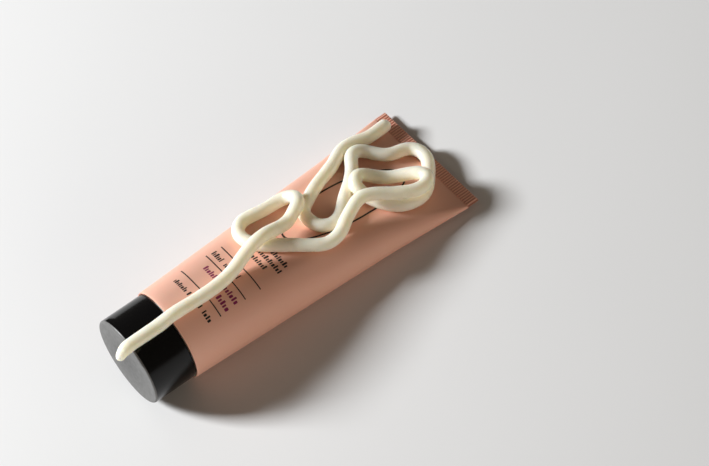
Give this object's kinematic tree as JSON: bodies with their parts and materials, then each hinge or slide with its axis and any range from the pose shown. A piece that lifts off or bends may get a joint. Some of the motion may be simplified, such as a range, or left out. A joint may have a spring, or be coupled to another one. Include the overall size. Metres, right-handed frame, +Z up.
{
  "type": "squeeze tube of lip balm",
  "caption": "Peach squeeze tube with a black screw cap and a flat crimp, lying on its back with a bead of cream balm looped along it.",
  "frame": {"origin": "middle of the flat stretch of the underside, on the table the tube lies on, in the tube's plane of symmetry", "axes": "+X along the tube from the cap to the crimp, +Y across it, +Z up"},
  "size_m": [0.1166, 0.0472, 0.0341],
  "materials": {
    "sleeve_film": "satin peach plastic film",
    "head_plastic": "natural moulded plastic",
    "cap_plastic": "smooth glossy black",
    "liner_foam": "matt white foam",
    "balm": "soft glossy cream",
    "black_ink": "satin ink",
    "plum_ink": "satin ink"
  },
  "bodies": {
    "tube": {"sleeve": "sleeve_film", "tube_head": "head_plastic", "balm_fill": "balm", "balm_bead": "balm", "black_print": "black_ink", "plum_print": "plum_ink"},
    "liner": {"cap_liner": "liner_foam"},
    "cap": {"cap": "cap_plastic"}
  },
  "joints": [
    {"name": "cap_lift", "type": "slide", "parent": "tube", "child": "liner", "axis": [-0.9909, 0, 0.1348], "range_m": [0, 0.012], "deforming": ["balm_bead"]},
    {"name": "cap_turn", "type": "hinge", "parent": "liner", "child": "cap", "pos_m": [-0.03427, 0, 0.01513], "axis": [-0.9909, 0, 0.1348], "range_deg": [0, 1440]}
  ],
  "couplings": [
    {"joint": "cap_lift", "follows": "cap_turn", "m_per_rad": 0.00047746}
  ]
}
